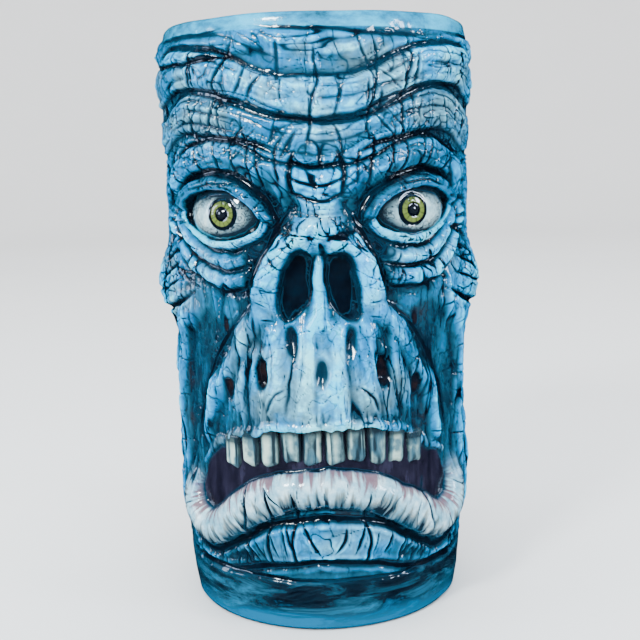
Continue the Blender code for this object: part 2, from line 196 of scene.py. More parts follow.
class Clay:
    """The wall's relief as a grid of heights, with ink where a dark wash is rubbed into it.

    A ridge, groove, mound or ladder is carved on both sides of the face, unless it names its sides.
    """

    WOBBLE = 1.6

    def __init__(self):
        arc = (np.arange(COLUMNS) / COLUMNS - 0.5) * AROUND
        self.arc, self.up = np.meshgrid(arc, np.linspace(WALL_LOW, WALL_HIGH, ROWS))
        self.x, self.y = (
            place + 0.55 * noise(self.arc, self.up, (14, 14), seed)
            + 0.22 * noise(self.arc, self.up, (3.4, 3.4), seed + 1)
            for place, seed in ((self.arc, 1), (self.up, 3)))
        self.height, self.ink, self.hole = (np.zeros(self.arc.shape) for _ in range(3))

    def window(self, path, reach):
        """The slice of the grid within reach of a path."""
        low, high = np.min(path, axis=0) - reach, np.max(path, axis=0) + reach
        rows = np.searchsorted(self.up[:, 0], [low[1], high[1]])
        columns = np.searchsorted(self.arc[0], [low[0], high[0]])
        return slice(max(rows[0] - 1, 0), rows[1] + 1), slice(max(columns[0] - 1, 0), columns[1] + 1)

    def near(self, path, reach):
        """(slice, distance from the path, share of the way along it, side of it) within reach of a path."""
        line = smooth_path(path) if len(path) > 2 else np.array(path, float)
        at = self.window(line, reach + self.WOBBLE)
        x, y = self.x[at], self.y[at]
        nearest = np.full(x.shape, np.inf)
        along, side = np.zeros(x.shape), np.zeros(x.shape)
        lengths = np.hypot(*np.diff(line, axis=0).T)
        starts = np.concatenate([[0], np.cumsum(lengths)])
        for i, (a, b) in enumerate(zip(line[:-1], line[1:])):
            d = b - a
            t = np.clip(((x - a[0]) * d[0] + (y - a[1]) * d[1]) / max(d @ d, 1e-9), 0, 1)
            away = np.hypot(x - a[0] - t * d[0], y - a[1] - t * d[1])
            closer = away < nearest
            nearest = np.where(closer, away, nearest)
            along = np.where(closer, (starts[i] + t * lengths[i]) / starts[-1], along)
            side = np.where(closer, np.sign((y - a[1]) * d[0] - (x - a[0]) * d[1]), side)
        return at, nearest, along, side

    def wash(self, amount, at=...):
        """Rubs in dark wash, where there isn't more of it already."""
        self.ink[at] = np.maximum(self.ink[at], amount)

    def sink(self, shape, depth, ink=1.0):
        self.height -= depth * shape
        self.wash(ink * shape)

    def score(self, cuts, where, depth, ink):
        """Fine sharp cuts over an area."""
        self.height -= depth * cuts**1.3 * where
        self.wash(ink * cuts * step(where * 1.6))

    def ridge(self, path, half, rise, ends=0.0, sides=BOTH):
        """A rounded roll along a path. Ends is the share of it over which each end fades."""
        for side in sides:
            at, away, along, _ = self.near(mirrored(path, side), half)
            self.height[at] += rise * bump(away / half) * fading(along, ends)

    def groove(self, path, half, depth, ink=1.0, ends=0.25, sides=BOTH):
        """A cut with a sharp bottom and raised shoulders, thinner towards its ends."""
        for side in sides:
            at, away, along, _ = self.near(mirrored(path, side), half * 2.2)
            thin = fading(along, ends)
            width = half * (0.35 + 0.65 * thin)
            cut = np.clip(1 - away / width, 0, 1) ** 1.4 * thin
            shoulder = 0.25 * bump((away - 1.35 * width) / (0.85 * width)) * thin
            self.height[at] += depth * (shoulder - cut)
            self.wash(ink * np.clip(1.05 - away / width, 0, 1) * thin, at)

    def mound(self, centre, half, rise, ink=0.0, sides=BOTH):
        """An oval swelling, or a hollow where rise is negative. With ink it is a dark hole."""
        for side in sides:
            middle = (side * centre[0], centre[1])
            at = self.window([middle], np.array(half) + self.WOBBLE)
            shape = spot(self.x[at], self.y[at], middle, half)
            self.height[at] += rise * shape
            if ink:
                self.wash(ink * step(shape * 2), at)
                self.hole[at] = np.maximum(self.hole[at], ink**3 * step(shape * 3 - 1))

    def ladder(self, path, half, gap, width, depth, seed, lean=0.15, ink=1.0):
        """Short crooked cracks across a path, about a gap apart."""
        for side in BOTH:
            rng = np.random.default_rng(seed + side)
            line = smooth_path(mirrored(path, side))
            steps = np.diff(line, axis=0)
            run = np.concatenate([[0], np.cumsum(np.hypot(*steps.T))])
            place = gap * rng.uniform(0.3, 1.0)
            while place < run[-1]:
                at = np.array([np.interp(place, run, line[:, k]) for k in (0, 1)])
                i = min(np.searchsorted(run, place), len(steps)) - 1
                along = steps[i] / np.hypot(*steps[i])
                across = np.array([-along[1], along[0]]) + along * rng.normal(0, lean)
                low, high = -half * rng.uniform(0.55, 1.1), half * rng.uniform(0.55, 1.1)
                kink = along * rng.normal(0, 0.12 * half)
                crack = [at + across * low, at + kink, at + across * high]
                size = rng.uniform(0.6, 1.25)
                self.groove(crack, width * size, depth * size, ink * min(1, size), 0.35, ALONE)
                place += gap * rng.uniform(0.55, 1.45)


# ---------------------------------------------------------------- the face

# Brow folds, as heights along the arc from the middle of the face to the middle of the back
CROWN_UP = 157.0
UPPER_FOLD = [(0, 143.5), (12, 145.0), (28, 151.0), (44, 152.0), (62, 147.5), (84, 150.0), (110, 146.5),
              (136, 149.0)]
LOWER_FOLD = [(0, 132.5), (10, 134.0), (24, 139.5), (40, 140.5), (58, 134.5), (80, 137.5), (104, 133.0),
              (124, 136.5), (136, 136.0)]
BROW_RIDGE = [(4, 119.5), (11, 125.5), (26, 128.5), (39, 125.5), (47, 118.5)]

NOSE_WING = [(3.4, 108.6), (8.6, 105.6), (12.4, 99.5), (14.4, 92.0), (14.0, 85.5)]

EYE_ARC, EYE_HEIGHT = 27.0, 114.5
OPENING_HALF = (11.6, 5.9)
OPENING_SLANT = 0.10
OPENING_POWER = 1.8
UPPER_LID = dict(middle=2.1, half=2.4, rise=3.9)
LOWER_LID = dict(middle=1.4, half=1.7, rise=2.9)
EYE_BAGS = [dict(middle=5.9, half=2.7, rise=2.9), dict(middle=11.3, half=2.6, rise=2.2)]
BAG_CREASES = [(3.3, 1.2), (8.6, 1.5), (14.0, 1.3)]
SOCKET_FLOOR = -4.6

# Strands of sinew and drips: (path, half width, rise)
SINEW = [
    ([(14, 90.5), (21.5, 84), (30.0, 71), (35, 59.5), (37, 50)], 4.0, 2.7),
    ([(38, 91.0), (46, 83), (48.5, 70), (49.5, 54), (51, 38), (50, 24)], 4.6, 2.7),
    ([(54, 86.0), (59, 74), (59.5, 58), (60, 40), (58, 22)], 3.4, 2.0),
    ([(66, 88.0), (67.5, 74), (66.5, 56), (67, 38), (66, 24)], 2.9, 1.7),
]
DRIPS = [
    ([(3.0, 88.5), (4.2, 80), (4.2, 70), (5.2, 63)], 3.2, 1.0),
    ([(11.5, 87.5), (12.5, 79), (12.0, 71), (13.5, 62)], 3.4, 1.2),
    ([(19.5, 86.0), (21, 78), (23.5, 69), (25, 60)], 3.0, 1.0),
]

FACE_HALF_WIDTH = 62.0
MOUTH_HALF_WIDTH = 41.0
MOUTH_CORNER = 43.0
MOUTH_FLOOR = -5.2
UPPER_EDGE = dict(middle=57.5, drop=14.0, power=2.6)
LOWER_EDGE = dict(middle=46.0, drop=16.5, power=1.6)
LOWER_LIP = [(0, 41.5), (12, 40.0), (24, 34.0), (35, 27.5), (43.5, 30.5), (46.5, 39.0), (43.0, 48.0)]
LIP_HALF = 5.6
LIP_LENGTH = 75.0
CHIN_CREASE = [(0, 33.5), (14, 31.5), (26, 25.0), (38, 20.0), (50, 24.0)]


def mouth_edge(arc, middle, drop, power):
    return middle - drop * (np.abs(arc) / MOUTH_HALF_WIDTH) ** power


def fold_height(arc, points):
    line = smooth_path(points)
    return np.interp(np.abs(arc), line[:, 0], line[:, 1])


def carve_fold(clay, points, half, rise, seed):
    """A fold that runs all round, between two creases, with shorter creases along it."""
    arc, up = clay.x, clay.y
    fade = 1 - 0.5 * between(np.abs(arc), 34, 62)
    half = half * (1 + 0.14 * noise(arc, up, (26, 60), seed))
    away = (up - fold_height(arc, points)) * 0.96
    swell = np.clip(1 - np.abs(away / half) ** 2.3, 0, 1) ** 0.6
    beyond = np.abs(away) - half
    clay.height += rise * (swell - 0.6 * bump((beyond - 0.2) / 1.2)) * fade
    clay.wash(bump((beyond - 0.1) / 0.62) * np.sqrt(fade))
    for offset in (-0.5, 0.05, 0.55):
        line = away - offset * half - 0.6 * noise(arc, up, (12, 40), seed + 5)
        gate = between(noise(arc, up, (18, 50), seed + int(20 * offset) + 40), 0.0, 0.35)
        clay.sink(np.clip(1 - np.abs(line) / 0.55, 0, 1) * gate * fade, 0.5, 0.75)


def carve_brow(clay):
    carve_fold(clay, UPPER_FOLD, 5.2, 2.7, 50)
    carve_fold(clay, LOWER_FOLD, 5.0, 1.7, 60)
    clay.ridge(BROW_RIDGE, 9.0, 3.3, ends=0.12)
    clay.groove([(4.6, 131.0), (6.2, 126.0), (5.6, 119.0)], 1.1, 1.3)
    clay.groove([(6, 128.2), (16, 132.6), (28, 134.4), (40, 131.4), (50, 124.0)], 1.3, 1.2)
    for side in BOTH:
        rng = np.random.default_rng(71 + side)
        for k in range(8):
            top = (9.5 + 5.2 * k + rng.uniform(-1, 1), 139.5 - 0.018 * (5.2 * k - 21) ** 2)
            toward = 0.40 * (top[0] - 7.0)
            foot = (top[0] - toward * rng.uniform(0.5, 0.9), 124.0 + rng.uniform(-3, 3) - 0.10 * top[0])
            middle = ((top[0] + foot[0]) / 2 + rng.uniform(-0.6, 0.9), (top[1] + foot[1]) / 2)
            clay.groove([top, middle, foot], 0.6 * rng.uniform(0.7, 1.2), 0.75, ends=0.2, sides=[side])
    clay.ladder([(3, 129.5), (14, 133.6), (30, 135.6), (46, 132.0)], 3.4, 4.2, 0.45, 0.5, 75, lean=0.5)
    clay.ladder(UPPER_FOLD[:-1], 5.6, 8.0, 0.6, 0.8, 80, lean=0.3)
    clay.ladder(LOWER_FOLD[:-1], 4.8, 6.4, 0.6, 0.8, 83, lean=0.3)
    for place in [(53, 142.2), (59.5, 144.4), (47.5, 129.0)]:
        clay.mound(place, (1.5, 2.9), -2.4, ink=1.0)


def carve_crown(clay):
    """A low wavy roll under the rim, and long cracks that run down from it over the folds."""
    wave = CROWN_UP + 1.3 * noise(clay.arc, clay.up, (30, 60), 180)
    clay.height += roll(clay.y - wave, 3.4)
    for offset, seed in ((3.4, 184), (-3.4, 178)):
        gate = between(noise(clay.x, clay.y, (24, 50), seed), -0.35, 0.15)
        clay.sink(bump(clay.y - wave - offset) * gate, 0.9)
    rng = np.random.default_rng(182)
    for arc in np.arange(-126, 128, 9.5):
        a = arc + rng.uniform(-3.5, 3.5)
        z = rng.uniform(156, 161)
        lean = rng.normal(0, 0.22)
        path = [(a, z)]
        for _ in range(rng.integers(2, 6)):
            a += rng.normal(lean, 0.16) * 6
            z -= rng.uniform(4, 6.5)
            path.append((a, z))
        size = rng.uniform(0.75, 1.25)
        clay.groove(path, 0.62 * size, 0.85 * size, ends=0.12, sides=ALONE)


def carve_nose(clay):
    """A short wrinkled bridge over a worn-open nose: two tall cavities with a septum between them."""
    x, y = clay.x, clay.y
    across = np.abs(x)
    bridge = 3.9 * bump(across / 7.2) * band(y, 110, 116, 122, 131)
    tip = 5.9 * spot(across, y, (0, 111.0), (8.6, 8.0)) ** 0.8
    wings = np.zeros(x.shape)
    for side in BOTH:
        at, away, along, _ = clay.near(mirrored(NOSE_WING, side), 5.0)
        wing = 5.0 * np.clip(1 - (away / 4.2) ** 2, 0, 1) ** 0.8 * (1 - 0.75 * between(along, 0.62, 1.0))
        wings[at] = np.maximum(wings[at], wing)
    half_septum = 1.7 + 2.6 * (1 - between(y, 84, 101))
    septum = 3.4 * bump(across / half_septum) ** 0.8 * between(y, 80, 90) * (1 - 0.8 * between(y, 99, 108))
    clay.height += np.maximum.reduce([bridge, tip, wings, septum])

    lean = across - 6.1 - 0.10 * (97 - y) - 1.4 * (1 - between(y, 84, 97))
    opening = bump(np.hypot(lean / 4.9, (y - 96.6) / 10.6)) ** 0.55 * (1 - bump(across / (half_septum + 0.6)))
    clay.cavity = step(opening * 3)
    clay.height -= 8.2 * opening + 0.5 * noise(x, y, (5, 7), 96, 3) * step(opening * 2)
    # The cavities are washed darker the deeper they go and towards their top: dark wash with painted shade
    # inside the holes
    streaked = between(opening + 0.35 * noise(x, y, (1.6, 9), 95, 3), -0.1, 1.0) + 0.15 * between(y, 92, 104)
    clay.ink *= 1 - clay.cavity
    clay.wash(np.clip(streaked, 0, 0.95) * clay.cavity)

    for k, up in enumerate([127.0, 122.6, 118.8]):
        clay.groove([(-7.5, up + 1.8), (0, up - 0.7), (7.5, up + 1.6)], 0.8, 1.0 - 0.1 * k, sides=ALONE)
    clay.groove([(8.4, 116.0), (12.0, 108.5), (16.4, 100.5), (18.6, 91.0)], 1.4, 1.6)
    clay.groove([(6.0, 117.5), (9.4, 112.4), (13.4, 105.0)], 0.7, 0.8)
    clay.ladder(NOSE_WING, 2.2, 5.2, 0.40, 0.50, 90, lean=0.4)
    for k, (a, z) in enumerate([(2.4, 114.6), (5.2, 113.4), (7.4, 110.6)]):
        clay.groove([(a, z), (a + 2.0, z - 2), (a + 2.4, z - 5.0 + k)], 0.4, 0.4, 0.8)


def out_from_eye(clay):
    """How far each place is out from the edge of its eye's almond opening, above its middle and across it."""
    across = np.abs(clay.x) - EYE_ARC
    over = clay.y - EYE_HEIGHT - OPENING_SLANT * across
    wide, tall = np.abs(across / OPENING_HALF[0]), np.abs(over / OPENING_HALF[1])
    out = (wide**OPENING_POWER + tall**OPENING_POWER) ** (1 / OPENING_POWER)
    return np.hypot(across, over) * (1 - 1 / np.maximum(out, 0.02)), over, across


def ring_round_eye(out, middle, half, rise):
    return rise * roll(out - middle, half)


def carve_eyes(clay):
    """Sunk sockets, thick lids with folds over them, and two bags under each, cracked into blocks."""
    out, over, across = out_from_eye(clay)
    turn = np.arctan2(over, across) * np.sign(clay.x) * 13
    uneven = out + 0.35 * noise(turn, out, (5, 9), 170)
    beside_nose = (1 - between(across + EYE_ARC, 16.5, 21)) * (1 - between(clay.y, 107, 111))
    under = between(-over, -1.0, 5.0) * (1 - between(out, 15.5, 18)) * (1 - beside_nose)
    upper = between(over, -1.5, 1.5)
    clay.height -= 1.6 * bump(np.clip((out - 2) / 8, 0, 1)) * between(out, -1, 2)

    for bag in EYE_BAGS:
        clay.height += ring_round_eye(uneven, **bag) * under
    for place, depth in BAG_CREASES:
        clay.sink(bump(uneven - place) * under, depth)
    blocks = lines(turn, out, (3.6, 30), 171, 0.16, 1)
    blocks = np.where(out > 9.4, np.roll(blocks, 9, axis=1), blocks)
    clay.score(blocks * between(out, 4.6, 6.0), under, 0.8, 1.0)
    clay.sink(bump((uneven - 5.0) / 1.4) * upper, 2.6)

    lids = np.maximum(ring_round_eye(out, **UPPER_LID) * upper,
                      ring_round_eye(out, **LOWER_LID) * (1 - 0.6 * upper))
    on_lid = (lids > 0.4).astype(float)
    clay.height = np.maximum(clay.height * (1 - 0.7 * on_lid), lids)
    clay.ink *= 1 - on_lid
    clay.wash(bump((out - 0.1) / 0.95))
    clay.lid = on_lid * (0.15 + 0.85 * upper)
    clay.height += 0.25 * noise(turn, out, (2.2, 3.0), 173) * on_lid
    clay.score(lines(turn, out, (2.0, 9), 172, 0.14), on_lid * between(out, 0.4, 1.6), 0.40, 0.85)
    clay.score(lines(turn, out, (14, 1.6), 174, 0.14), on_lid * between(out, 0.7, 1.4), 0.35, 0.85)

    clay.groove([(17.5, 121.0), (27, 122.6), (36.0, 120.6)], 0.45, 0.5, 0.8)
    for k in range(7):
        a, z, rise = 43.5 + 0.6 * abs(k - 3), 121.5 - 3.4 * k, 1.15 * (3 - k)
        clay.groove([(a, z), (a + 6, z + rise + 1.0), (a + 13, z + 1.9 * rise - 0.6)], 0.9, 1.0, 0.95)
    for z in (111.0, 108.0, 105.0):
        clay.groove([(12.4, z), (10.2, z + 1.8), (8.8, z + 4.4)], 0.6, 0.6)
    cut = step(0.5 - out / 0.8)
    clay.height = clay.height * (1 - cut) + SOCKET_FLOOR * cut
    clay.ink = np.maximum(clay.ink * (1 - cut), cut)


def carve_cheeks(clay):
    """Cheekbones over deep hollows, with strands of sinew drawn down past the mouth."""
    for centre, half, rise in [((56, 93.5), (25, 14.5), 3.8), ((31, 80.0), (10, 11), -2.4),
                               ((40, 66.0), (6.5, 17), -3.0), ((55, 62.0), (6, 26), -1.4)]:
        clay.mound(centre, half, rise)
    for path, half, rise in SINEW:
        clay.ridge(path, half, rise, ends=0.15)
        clay.groove([(a + half + 0.9, z) for a, z in path], 1.3, 1.8)
    for k, (path, half, _) in enumerate(SINEW[:2]):
        clay.ladder(path, half, 9.0, 0.4, 0.4, 110 + 2 * k, ink=0.8)
    clay.ladder([(42, 99.0), (54, 97.5), (66, 94.0), (76, 92.0)], 6.0, 4.6, 0.45, 0.5, 126, lean=0.3)
    clay.groove([(38, 93.5), (48, 89.5), (60, 86.5), (72, 88.0)], 1.2, 1.3)
    clay.groove([(42, 97.0), (54, 93.4), (66, 91.4)], 0.7, 0.7, 0.9)
    for place in [(27.5, 86.0), (55.0, 66.0), (63.0, 76.0)]:
        clay.mound(place, (1.3, 3.2), -2.2, ink=1.0)
    x, y = clay.x, clay.y
    across = np.abs(x)
    clay.height -= 2.0 * bump((y - 64) / 34) * between(across, 46, 58)
    drawn = x * (1 + 0.0042 * (y - 60))
    where = band(across, 13, 19, 58, 66) * band(y, 22, 34, 84, 93)
    clay.height += 0.30 * noise(drawn, y, (1.5, 30), 128) * where
    gate = between(noise(x, y, (9, 26), 129), -0.25, 0.15)
    clay.score(lines(drawn, y, (2.6, 46), 130, 0.13), where * gate, 0.55, 0.95)


def carve_muzzle(clay):
    """A pale dome of skin worn to holes and drips over the upper teeth."""
    x, y = clay.x, clay.y
    clay.height += 5.0 * spot(x, y, (0, 68), (32, 27))
    fan = np.arctan2(x, 122 - y) * 62
    where = spot(x, y, (0, 70), (33, 22)) ** 0.5
    clay.height += 0.26 * noise(fan, y, (1.5, 26), 31) * where
    clay.score(lines(fan, y, (5.0, 34), 33, 0.10), where * between(np.abs(x), 3, 9), 0.7, 0.8)
    for path, half, rise in DRIPS:
        clay.ridge(path, half, rise, ends=0.3)
    for centre, half, rise, ink in [((7.6, 81.5), (2.3, 6.0), -2.0, 0.6),
                                    ((16.4, 73.5), (2.5, 6.0), -3.6, 1.0),
                                    ((27.5, 68.5), (1.6, 4.6), -2.4, 1.0)]:
        clay.mound(centre, half, rise, ink)
    clay.groove([(9.5, 70.0), (13.0, 67.0), (15.4, 62.5)], 0.7, 0.7, 0.8)
    clay.mound((0, 73.5), (2.2, 5.4), -1.8, 0.55, ALONE)


def carve_mouth(clay):
    """The open mouth, a ragged gum over the teeth, and a fat lower lip round it."""
    x, y = clay.x, clay.y
    across = np.abs(x)
    below_upper = mouth_edge(x, **UPPER_EDGE) + 0.7 * noise(x, y, (3.2, 9), 41) - y
    above_lower = y - mouth_edge(x, **LOWER_EDGE)
    clay.gum = bump((below_upper + 1.8) / 2.2) * (across < MOUTH_CORNER - 3)
    clay.height += 0.9 * clay.gum
    hatched = bump((below_upper + 3.0) / 4.2) * (across < MOUTH_CORNER)
    clay.score(lines(x, y, (1.7, 9), 43, 0.20, 1), hatched, 0.45, 0.7)
    cut = step(np.minimum.reduce([below_upper, above_lower, MOUTH_CORNER - across]) / 1.5 + 0.5)
    ribs = 0.7 * noise(x, y, (3.2, 18), 44, 3)
    clay.height = clay.height * (1 - cut) + (MOUTH_FLOOR + ribs) * cut
    clay.ink *= 1 - cut

    nothing = -99.0
    lip = np.full(x.shape, nothing)
    clay.lip_across, clay.lip_stroke, shown = (np.zeros(x.shape) for _ in range(3))
    for side in BOTH:
        at, away, along, above = clay.near(mirrored(LOWER_LIP, side), LIP_HALF + 1)
        section = roll(away, LIP_HALF)
        made = np.where(section > 0, (5.4 - 4.6 * between(along, 0.72, 1.0)) * section - 1.0, nothing)
        taller = made > lip[at]
        for field, value in [
            (lip, made),
            (clay.lip_across, 0.5 + 0.5 * side * above * away / LIP_HALF),
            (clay.lip_stroke, 0.5 + 0.5 * noise(along * LIP_LENGTH, away, (0.85, 9), 45 + side, 3)),
            (shown, 1 - between(along, 0.74, 0.97)),
        ]:
            field[at] = np.where(taller, value, field[at])
    is_lip = lip > clay.height
    clay.height = np.where(is_lip, lip, clay.height)
    clay.ink = np.where(is_lip, 0, clay.ink)
    clay.lip = blurred(is_lip * shown, 0.35)
    clay.mouth = cut * ~is_lip
    inner = clay.lip * between(clay.lip_across, 0.66, 0.95)
    clay.height -= 0.22 * between(clay.lip_stroke, 0.45, 0.7) * inner


def carve_chin(clay):
    clay.groove(CHIN_CREASE, 1.5, 2.1, ends=0.0)
    clay.groove([(0, 20.6), (16, 19.2), (30, 15.6), (44, 16.0)], 1.5, 1.7, ends=0.0)
    clay.ladder([(1, 28.0), (16, 26.0), (29, 20.6), (40, 17.5)], 5.4, 4.0, 0.55, 0.75, 130, lean=0.25)
    clay.ladder(LOWER_LIP[:6], 5.0, 6.0, 0.42, 0.42, 134, lean=0.22, ink=0.85)
    for side, a in [(-1, 8.5), (-1, 15.5), (-1, 22.0), (1, 12.0), (1, 30.5)]:
        clay.groove([(a, 42.5), (a - 1.2, 35), (a, 27), (a - 0.6, 18)], 0.7, 1.0, ends=0.15, sides=[side])
    for k in range(5):
        a, z = 50.0 + 3.4 * k, 40.0 + 3 * k
        clay.groove([(a, z), (a - 0.6, z - 11), (a - 3.6, 19.0 + 0.5 * k)], 1.1, 1.1, 0.95)
    clay.height += 2.9 * spot(clay.x, clay.y, (0, 26.5), (43, 8.5))


def carve_sides(clay):
    """Upright sinew, cracks and holes round the sides and the back."""
    x, y = clay.x, clay.y
    here = between(np.abs(x), 46, 60) * band(y, 17, 30, 122, 133)
    clay.height += 1.1 * (1 - np.abs(noise(x, y, (6.5, 70), 21)) * 1.5) * here
    for size, seed, width, depth, ink in [((7.5, 80), 21, 0.12, 1.5, 1.0), ((3.6, 40), 22, 0.09, 0.7, 0.8),
                                          ((13, 7), 23, 0.05, 0.5, 0.8)]:
        clay.score(lines(x, y, size, seed, width), here, depth, ink)
    for seed, gap in [(24, 7.5), (25, 11.0)]:
        rng = np.random.default_rng(seed)
        for arc in np.arange(66, 134, gap):
            for side in BOTH:
                z = rng.uniform(26, 118)
                place = (arc + rng.uniform(-3, 3), z)
                clay.mound(place, (1.3, rng.uniform(2.4, 4.4)), -2.0, ink=1.0, sides=[side])


def carve_flow(clay):
    """Fine wrinkles that follow the form: along the folds, round the eyes, and down the cheeks."""
    x, y = clay.x, clay.y
    across = np.abs(x)
    face = 1 - np.maximum(clay.mouth, clay.lip)
    beside_eye, over_eye = (across - EYE_ARC) / 1.25, y - EYE_HEIGHT
    eye_out = np.hypot(beside_eye, over_eye)
    eye_turn = np.arctan2(over_eye, beside_eye) * np.sign(x) * 24
    round_eye = band(eye_out, 10, 13, 19, 27) * between(y, 88, 94)
    forehead = band(y, 120, 128, 158, 162) * (1 - round_eye)
    from_fold = y - fold_height(x, LOWER_FOLD) * between(y, 118, 132) + 132
    lower = band(y, 14, 22, 96, 112) * between(across, 14, 28)
    for where, along, over, size, depth in [
        (forehead, x, from_fold, (11, 1.5), 0.34),
        (round_eye, eye_turn, eye_out, (9, 1.5), 0.30),
        (lower, x, y, (1.6, 20), 0.32),
    ]:
        clay.height += depth * noise(along, over, size, 151) * where * face
        larger = (size[0] * 1.7, size[1] * 1.7)
        clay.score(lines(along, over, larger, 152, 0.13), where * face, depth * 1.5, 0.9)
    clay.score(lines(eye_turn, eye_out, (3.4, 12), 153, 0.10), round_eye * face, 0.45, 0.85)
    clay.score(lines(x, y, (4.4, 16), 154, 0.07), forehead * face, 0.5, 0.9)


def carve_skin(clay):
    """Crackle, fine wrinkles and hand-worked unevenness over everything but the eyes and the mouth."""
    x, y = clay.x, clay.y
    patches = [((60, 108), (20, 15), 3.6), ((58, 94), (18, 10), 4.2), ((36, 133), (12, 7), 3.4),
               ((96, 70), (18, 34), 5.0), ((128, 100), (16, 26), 4.6)]
    for k, (centre, half, size) in enumerate(patches):
        edge = np.clip(1 - cells_pattern(x, y, size, 140 + k) / 0.55, 0, 1)
        away = np.hypot((np.abs(x) - centre[0]) / half[0], (y - centre[1]) / half[1])
        clay.score(edge, step((1 - away) * 2.2), 0.55, 0.85)
    face = 1 - np.maximum(clay.mouth, clay.lip * 0.75)
    for where, size, seed, width, octaves, depth, ink in [
        (0.8 * band(y, 14, 24, 88, 104), (2.6, 30), 27, 0.07, 2, 0.35, 0.55),
        (0.8 * band(y, 96, 112, 154, 158), (16, 2.8), 28, 0.06, 2, 0.35, 0.55),
        (between(y, 14, 22), (9, 9), 29, 0.028, 3, 0.4, 0.7),
    ]:
        clay.score(lines(x, y, size, seed, width, octaves), face * where, depth, ink)
    worked = 0.30 * noise(x, y, (7, 7), 35, 3) + 0.07 * noise(x, y, (1.2, 1.6), 36)
    clay.height += worked * (0.35 + 0.65 * face)


def carve():
    clay = Clay()
    for feature in (carve_cheeks, carve_sides, carve_muzzle, carve_brow, carve_crown, carve_mouth,
                    carve_chin, carve_nose, carve_flow, carve_eyes, carve_skin):
        feature(clay)
    relief = between(clay.up, 7.0, 15.5) + 0.06
    relief = np.clip(relief * (1 - 0.9 * between(clay.up, 160.2, 162.7)), 0, 1)
    clay.height *= relief
    clay.ink *= np.clip(relief * 1.2 - 0.1, 0, 1)
    foot_top = 15.6 + 0.8 * noise(clay.arc, clay.up, (20, 60), 37)
    clay.sink(bump((clay.up - foot_top) / 1.1), 0.9, 0.8)
    clay.height += 0.22 * noise(clay.arc, clay.up, (16, 30), 38)
    pooled = 0.75 * np.clip(blurred(clay.ink, 0.5) * 1.6, 0, 1)
    clay.height += (blurred(clay.height, 0.45) - clay.height) * pooled
    return clay


# ---------------------------------------------------------------- meshes


def radius_at(profile, up):
    return np.interp(up, *zip(*profile))


def inner_swell(arc, up):
    """The inside swells in softly behind the deep hollows, as the CAD wall does."""
    total = sum(depth * spot(np.abs(arc), up, centre, half) for centre, half, depth in INNER_SWELLS)
    return total * between(up, 13, 25)


def wall_rings(clay, columns):
    """(radius, height) of rings of points: up inside, over the rim, down outside and in under the foot."""
    arc = clay.arc[0, columns]
    level = 0 * arc
    rings = [(level + radius, level + up) for radius, up in INNER_FLOOR]
    for up in np.linspace(INNER_PROFILE[2][0], WALL_HIGH, INNER_ROWS):
        rings.append((radius_at(INNER_PROFILE, up) - inner_swell(arc, up), level + up))
    outside = radius_at(OUTER_PROFILE, clay.up) + clay.height
    top_in, top_out = rings[-1][0], outside[-1, columns]
    middle, half = (top_in + top_out) / 2, (top_out - top_in) / 2
    lift = RIM_ROUND + 0.35 * noise(arc, level + 5, (24, 10), 39)
    for turn in np.linspace(0, math.pi, RIM_ROWS + 2)[1:-1]:
        rings.append((middle - half * math.cos(turn), WALL_HIGH + lift * math.sin(turn)))
    rings += zip(outside[::-1, columns], clay.up[::-1, columns])
    rings += [(level + radius, level + up) for radius, up in FOOT]
    return np.swapaxes(rings, 0, 1)


def ring_mesh(name, rings, *ends):
    """A mesh of rings of points in millimetres, with a fan to a first point and perhaps to a last one."""
    rows, count = rings.shape[:2]
    points = np.vstack([rings.reshape(-1, 3), ends]) * MM
    i = np.arange(rows - 1)[:, None] * count
    j = np.arange(count)
    k = (j + 1) % count
    quads = np.stack([i + j, i + count + j, i + count + k, i + k], axis=-1)
    centre, edge = j * 0 + rows * count, (rows - 1) * count
    fans = np.stack([[centre, j, k], [centre + 1, edge + k, edge + j]][:len(ends)]).swapaxes(1, 2)
    mesh = bpy.data.meshes.new(name)
    mesh.vertices.add(len(points))
    mesh.vertices.foreach_set("co", np.ascontiguousarray(points, np.float32).ravel())
    corners = np.concatenate([quads.ravel(), fans.ravel()]).astype(np.int32)
    mesh.loops.add(len(corners))
    mesh.loops.foreach_set("vertex_index", corners)
    starts = np.concatenate([np.arange(0, quads.size, 4), np.arange(quads.size, len(corners), 3)])
    mesh.polygons.add(len(starts))
    mesh.polygons.foreach_set("loop_start", starts.astype(np.int32))
    mesh.update(calc_edges=True)
    mesh.validate()
    mesh.shade_smooth()
    return mesh


def give(mesh, name, values, ends=()):
    """Stores one number for each vertex, for the material to read."""
    layer = mesh.attributes.new(name, "FLOAT", "POINT")
    layer.data.foreach_set("value", np.append(values, ends).astype(np.float32))


def add(mesh, material, node):
    piece = bpy.data.objects.new(mesh.name, mesh)
    bpy.context.scene.collection.objects.link(piece)
    mesh.materials.clear()
    mesh.materials.append(material)
    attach(piece, "root")
    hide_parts(node)
    return piece


def most(spots, across, y):
    """The strongest of some spots, each (strength, centre, half)."""
    return np.maximum.reduce([strength * spot(across, y, centre, half) for strength, centre, half in spots])


# Where the glaze thins on the face, and where it pools with painted shade in the hollows: (strength, centre,
# half)
PALE = [(0.8, (0, 110), (10, 12)), (0.6, (EYE_ARC, 104), (22, 10)), (1.5, (52, 94), (21, 12))]
POOLS_AND_SHADE = [(1.6, (13, 119), (10, 12)), (1.15, (26, 125), (26, 9)), (1.5, (19, 99), (8, 16)),
         (1.5, (33, 80), (11, 13)), (1.3, (43, 62), (9, 28)), (0.3, (60, 112), (14, 16))]


